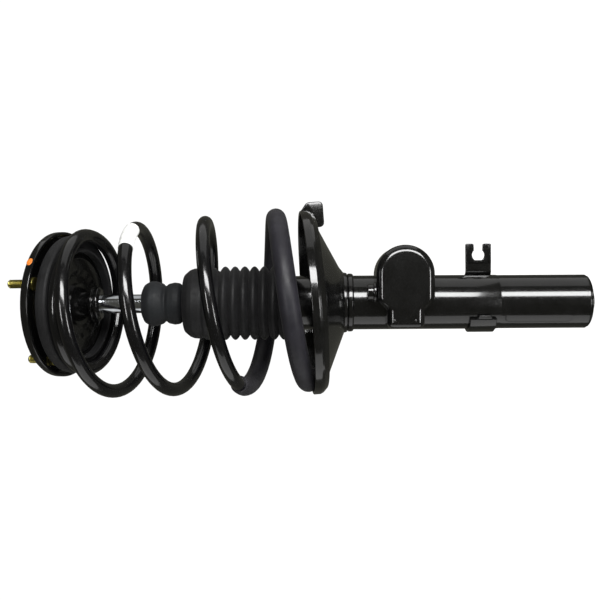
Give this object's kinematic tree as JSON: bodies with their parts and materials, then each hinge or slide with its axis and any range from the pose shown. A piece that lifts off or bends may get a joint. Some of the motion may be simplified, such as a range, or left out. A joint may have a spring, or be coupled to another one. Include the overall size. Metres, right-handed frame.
{
  "type": "suspension strut assembly",
  "caption": "Front suspension strut with coil spring, inclined spring seats, bump stop, folded dust boot and studded top mount with steering bearing.",
  "frame": {"origin": "centre of the lower end of the strut tube's clamp land", "axes": "+Z along the strut axis towards the top mount, +X towards the hose bracket, -Y towards the link bracket's face"},
  "size_m": [0.1865, 0.1774, 0.5444],
  "materials": {
    "gloss_black": "glossy electrocoat paint",
    "spring_coating": "glossy baked coating",
    "bright_steel": "ground steel",
    "zinc_steel": "clear zinc plate",
    "yellow_zinc": "yellow zinc plate",
    "chromed_rod": "polished hard chrome",
    "moulded_rubber": "matte moulded rubber",
    "foam_rubber": "closed-cell polyurethane",
    "seal_rubber": "oil-proof rubber",
    "band_plastic": "moulded nylon",
    "paper_tag": "plain wrap label"
  },
  "bodies": {
    "strut": {"strut_tube": "gloss_black", "base_cap": "gloss_black", "lower_spring_seat": "gloss_black", "seat_collar": "gloss_black", "link_bracket": "gloss_black", "link_nut": "gloss_black", "hose_bracket": "gloss_black", "pressure_tube": "bright_steel", "base_valve": "bright_steel", "rod_guide": "bright_steel", "rod_seal": "seal_rubber", "striker_cap": "zinc_steel", "lower_isolator": "moulded_rubber", "coil_spring": "spring_coating", "spring_tag": "paper_tag"},
    "rod_and_seat": {"piston_rod": "chromed_rod", "piston": "bright_steel", "piston_band": "band_plastic", "piston_nut": "bright_steel", "rebound_stop": "seal_rubber", "stop_cup": "gloss_black", "upper_isolator": "moulded_rubber", "upper_spring_seat": "gloss_black", "rod_core": "gloss_black", "core_washer": "zinc_steel", "rod_nut": "yellow_zinc", "bearing_lower_race": "bright_steel"},
    "ball_ring": {"bearing_cage": "band_plastic", "bearing_balls": "bright_steel"},
    "top_mount": {"bearing_upper_race": "bright_steel", "mount_plate": "gloss_black", "mount_rubber": "moulded_rubber", "mount_sleeve": "zinc_steel", "mount_studs": "yellow_zinc"},
    "bump_and_boot": {"bump_stop": "foam_rubber", "dust_boot": "moulded_rubber"}
  },
  "joints": [
    {"name": "strut_travel", "type": "slide", "parent": "strut", "child": "rod_and_seat", "axis": [0, 0, -1], "range_m": [0, 0.08], "stiffness_N_per_m": 25000, "springref_m": -0.06, "deforming": ["coil_spring", "lower_isolator", "spring_tag"]},
    {"name": "bump_slide", "type": "slide", "parent": "strut", "child": "bump_and_boot", "axis": [0, 0, -1], "range_m": [0, 0.0426], "deforming": ["dust_boot"]},
    {"name": "mount_swivel", "type": "hinge", "parent": "rod_and_seat", "child": "top_mount", "pos_m": [0, 0, 0.50395], "axis": [0, 0.2588, 0.9659], "range_deg": [-35, 35]},
    {"name": "ball_roll", "type": "hinge", "parent": "rod_and_seat", "child": "ball_ring", "pos_m": [0, 0, 0.50395], "axis": [0, 0.2588, 0.9659], "range_deg": [-17.5, 17.5]}
  ],
  "couplings": [
    {"joint": "bump_slide", "follows": "strut_travel", "ratio": 0.532},
    {"joint": "ball_roll", "follows": "mount_swivel", "ratio": 0.5}
  ]
}
